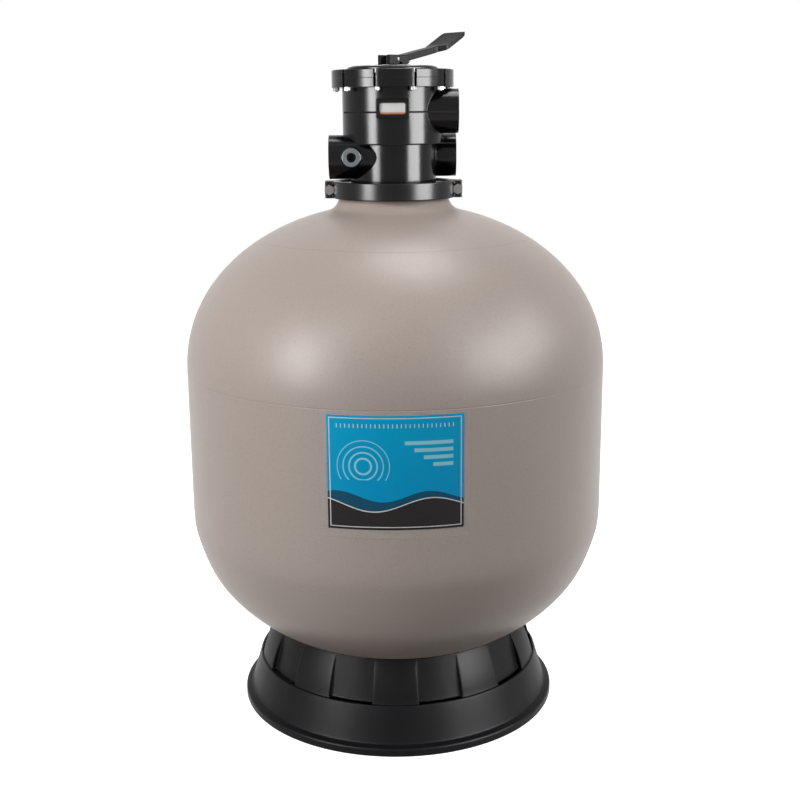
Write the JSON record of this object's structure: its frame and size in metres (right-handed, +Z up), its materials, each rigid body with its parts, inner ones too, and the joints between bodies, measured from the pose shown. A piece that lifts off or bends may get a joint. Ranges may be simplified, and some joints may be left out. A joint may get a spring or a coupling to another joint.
{
  "type": "sand filter tank",
  "caption": "Domed sand filter tank on a black base ring, with a clamped top-mount multiport valve, lever handle, sight glass and drain.",
  "frame": {"origin": "middle of the base ring's underside, on the tank's axis", "axes": "+Z up along the tank's axis; -Y is the front with the sight glass and the label; ports lie along X"},
  "size_m": [0.6099, 0.6104, 0.9893],
  "materials": {
    "tank_skin": "satin grey-brown resin skin with a fine speckle",
    "black_moulding": "glossy injection moulding",
    "lever_moulding": "satin injection moulding",
    "clamp_moulding": "satin injection moulding",
    "base_moulding": "satin injection moulding",
    "black_seal": "matt rubber",
    "orange_seal": "orange-red silicone",
    "clear_lens": "clear moulded lens",
    "stainless": "stainless fasteners",
    "spring_steel": "drawn wire",
    "slip_washer": "low-friction washer",
    "dial_plate": "dark plate with plain numbers",
    "rotor_moulding": "glass-filled moulding",
    "pipe_white": "white pipe plastic",
    "drain_moulding": "satin moulding",
    "label_film": "printed vinyl film"
  },
  "bodies": {
    "filter": {"base_ring": "base_moulding", "tank_shell": "tank_skin", "neck_oring": "black_seal", "clamp_front": "clamp_moulding", "clamp_rear": "clamp_moulding", "clamp_bolts": "stainless", "clamp_nuts": "stainless", "valve_body": "black_moulding", "spider_gasket": "black_seal", "sight_seal": "orange_seal", "sight_glass": "clear_lens", "sight_bezel": "black_moulding", "lid_oring": "black_seal", "valve_lid": "black_moulding", "lid_bolts": "stainless", "lid_nuts": "stainless", "position_plate": "dial_plate", "standpipe": "pipe_white", "lateral_hub": "pipe_white", "laterals": "pipe_white", "top_diffuser": "pipe_white", "drain_gasket": "black_seal", "drain_spigot": "drain_moulding", "drain_nut": "drain_moulding", "drain_cap_seal": "black_seal", "drain_cap": "drain_moulding", "front_label": "label_film"},
    "selector": {"handle_washer": "slip_washer", "spring_washer": "slip_washer", "rotor_spring": "spring_steel"},
    "rotor_set": {"rotor": "rotor_moulding", "stem": "rotor_moulding", "stem_orings": "black_seal", "handle_pin": "stainless"},
    "lever": {"handle": "lever_moulding"}
  },
  "joints": [
    {"name": "selector_turn", "type": "hinge", "parent": "filter", "child": "selector", "pos_m": [0, 0, 0.94], "axis": [0, 0, 1], "continuous": true},
    {"name": "rotor_lift", "type": "slide", "parent": "selector", "child": "rotor_set", "axis": [0, 0, 1], "range_m": [0, 0.0045], "deforming": ["rotor_spring"]},
    {"name": "handle_press", "type": "hinge", "parent": "rotor_set", "child": "lever", "pos_m": [0, 0, 0.9482], "axis": [-0.6691, 0.7431, 0], "range_deg": [0, 18], "stiffness_Nm_per_rad": 1.6, "springref_deg": -57.3}
  ],
  "couplings": [
    {"joint": "rotor_lift", "follows": "handle_press", "m_per_rad": 0.014}
  ]
}
